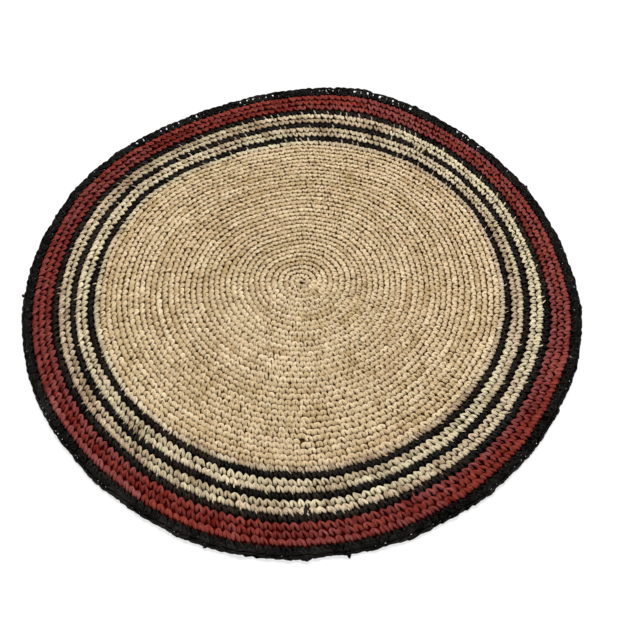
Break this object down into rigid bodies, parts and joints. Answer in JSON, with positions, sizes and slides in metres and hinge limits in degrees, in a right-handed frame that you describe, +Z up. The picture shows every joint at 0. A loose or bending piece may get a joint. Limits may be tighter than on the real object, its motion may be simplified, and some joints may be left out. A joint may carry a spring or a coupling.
{
  "type": "raffia placemat",
  "caption": "Round crocheted raffia placemat, natural straw field with black, natural and brick red rings around its border.",
  "frame": {"origin": "start of the crochet spiral, on the underside that rests on the table", "axes": "+Z up out of the right side of the crochet, +Y away from the person who sits at the mat"},
  "size_m": [0.3795, 0.385, 0.004],
  "materials": {
    "raffia_natural": "dry split raffia in its natural straw colour, softly glossy along the fibres, worked as single crochet",
    "raffia_black": "split raffia dyed black, softly glossy",
    "raffia_red": "split raffia dyed brick red, softly glossy"
  },
  "bodies": {
    "root": {"mat": "raffia_natural"}
  },
  "joints": []
}
